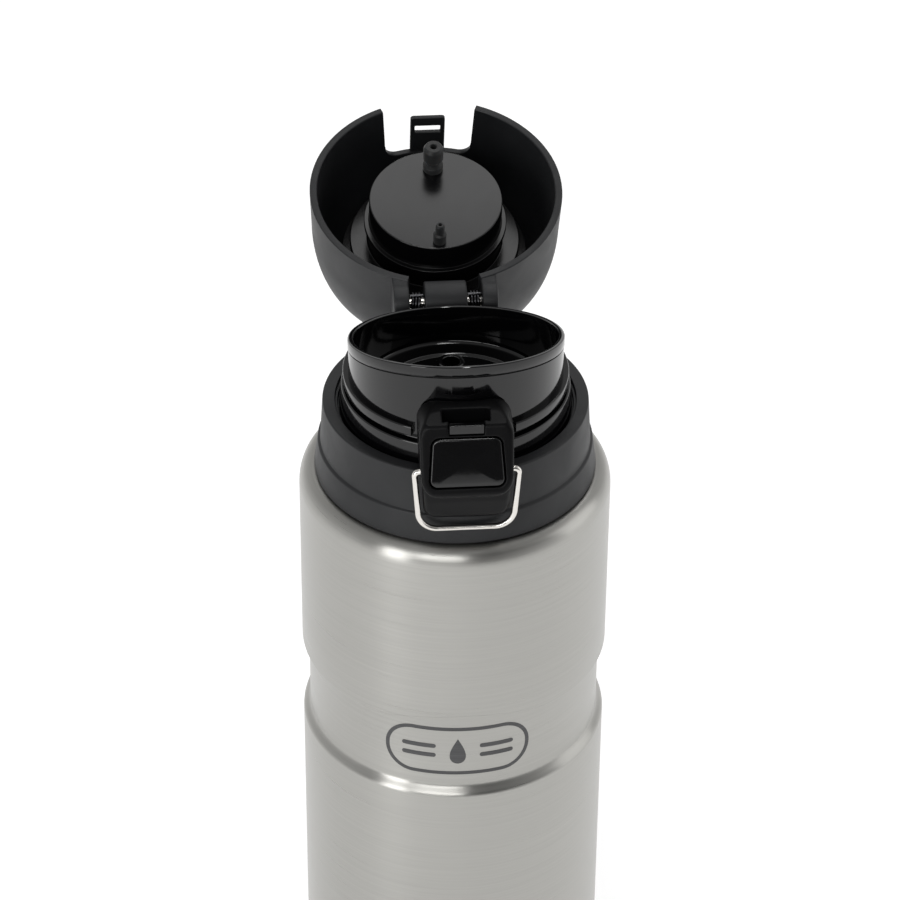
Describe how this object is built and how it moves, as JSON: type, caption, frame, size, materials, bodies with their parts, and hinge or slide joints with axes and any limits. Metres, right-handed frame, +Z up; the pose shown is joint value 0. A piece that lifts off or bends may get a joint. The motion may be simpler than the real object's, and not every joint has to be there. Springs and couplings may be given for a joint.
{
  "type": "insulated drinking bottle",
  "caption": "Double-walled steel drinking bottle with a screw-on top, drinking spout, sprung flip lid, push-button latch and wire bail.",
  "frame": {"origin": "centre of the base, on the surface the bottle stands on", "axes": "+Z up along the bottle's axis; the push button and bail face -Y, the lid's hinge is at +Y; +X is to the right seen from the front"},
  "size_m": [0.08, 0.147, 0.2576],
  "materials": {
    "brushed_body": "brushed round the body",
    "vessel_steel": "satin, electropolished inside",
    "getter_alloy": "sintered",
    "seal_alloy": "fused bead",
    "textured_black": "fine spark-eroded texture",
    "gloss_black": "polished moulding",
    "satin_black": "satin moulding",
    "clear_silicone": "translucent silicone",
    "black_silicone": "moulded silicone",
    "bright_wire": "drawn and polished",
    "spring_wire": "drawn wire"
  },
  "bodies": {
    "vessel": {"outer_shell": "brushed_body", "inner_vessel": "vessel_steel", "base_plate": "vessel_steel", "getter": "getter_alloy", "vacuum_seal": "seal_alloy"},
    "gasket": {"collar_gasket": "clear_silicone"},
    "collar": {"collar": "textured_black", "button_housing": "textured_black", "spout": "gloss_black", "spout_gasket": "clear_silicone", "hinge_pin": "bright_wire", "hinge_spring_left": "spring_wire", "hinge_spring_right": "spring_wire", "button_spring": "spring_wire"},
    "button": {"push_button": "gloss_black"},
    "latch": {"latch": "satin_black"},
    "bail": {"bail": "bright_wire"},
    "lid": {"lid_shell": "textured_black", "lid_plug": "gloss_black", "drink_hole_pin": "black_silicone", "vent_pin": "black_silicone"}
  },
  "joints": [
    {"name": "collar_lift", "type": "slide", "parent": "vessel", "child": "gasket", "axis": [0, 0, 1], "range_m": [0, 0.0061]},
    {"name": "collar_turn", "type": "hinge", "parent": "gasket", "child": "collar", "pos_m": [0, 0, 0.21], "axis": [0, 0, 1], "range_deg": [0, 540]},
    {"name": "lid_hinge", "type": "hinge", "parent": "collar", "child": "lid", "pos_m": [0, 0.0362, 0.2348], "axis": [1, 0, 0], "range_deg": [0, 165], "stiffness_Nm_per_rad": 0.01, "springref_deg": -34.38},
    {"name": "button_press", "type": "slide", "parent": "collar", "child": "button", "axis": [0, 0.9469, -0.3215], "range_m": [0, 0.0012], "stiffness_N_per_m": 200, "springref_m": -0.008, "deforming": ["button_spring"]},
    {"name": "latch_slide", "type": "slide", "parent": "collar", "child": "latch", "axis": [0, 1, 0], "range_m": [0, 0.0012]},
    {"name": "bail_swing", "type": "hinge", "parent": "collar", "child": "bail", "pos_m": [0, -0.03637, 0.2334], "axis": [-1, 0, 0], "range_deg": [0, 175]}
  ],
  "couplings": [
    {"joint": "collar_lift", "follows": "collar_turn", "m_per_rad": 0.00063662},
    {"joint": "latch_slide", "follows": "button_press", "ratio": 0.94691}
  ]
}
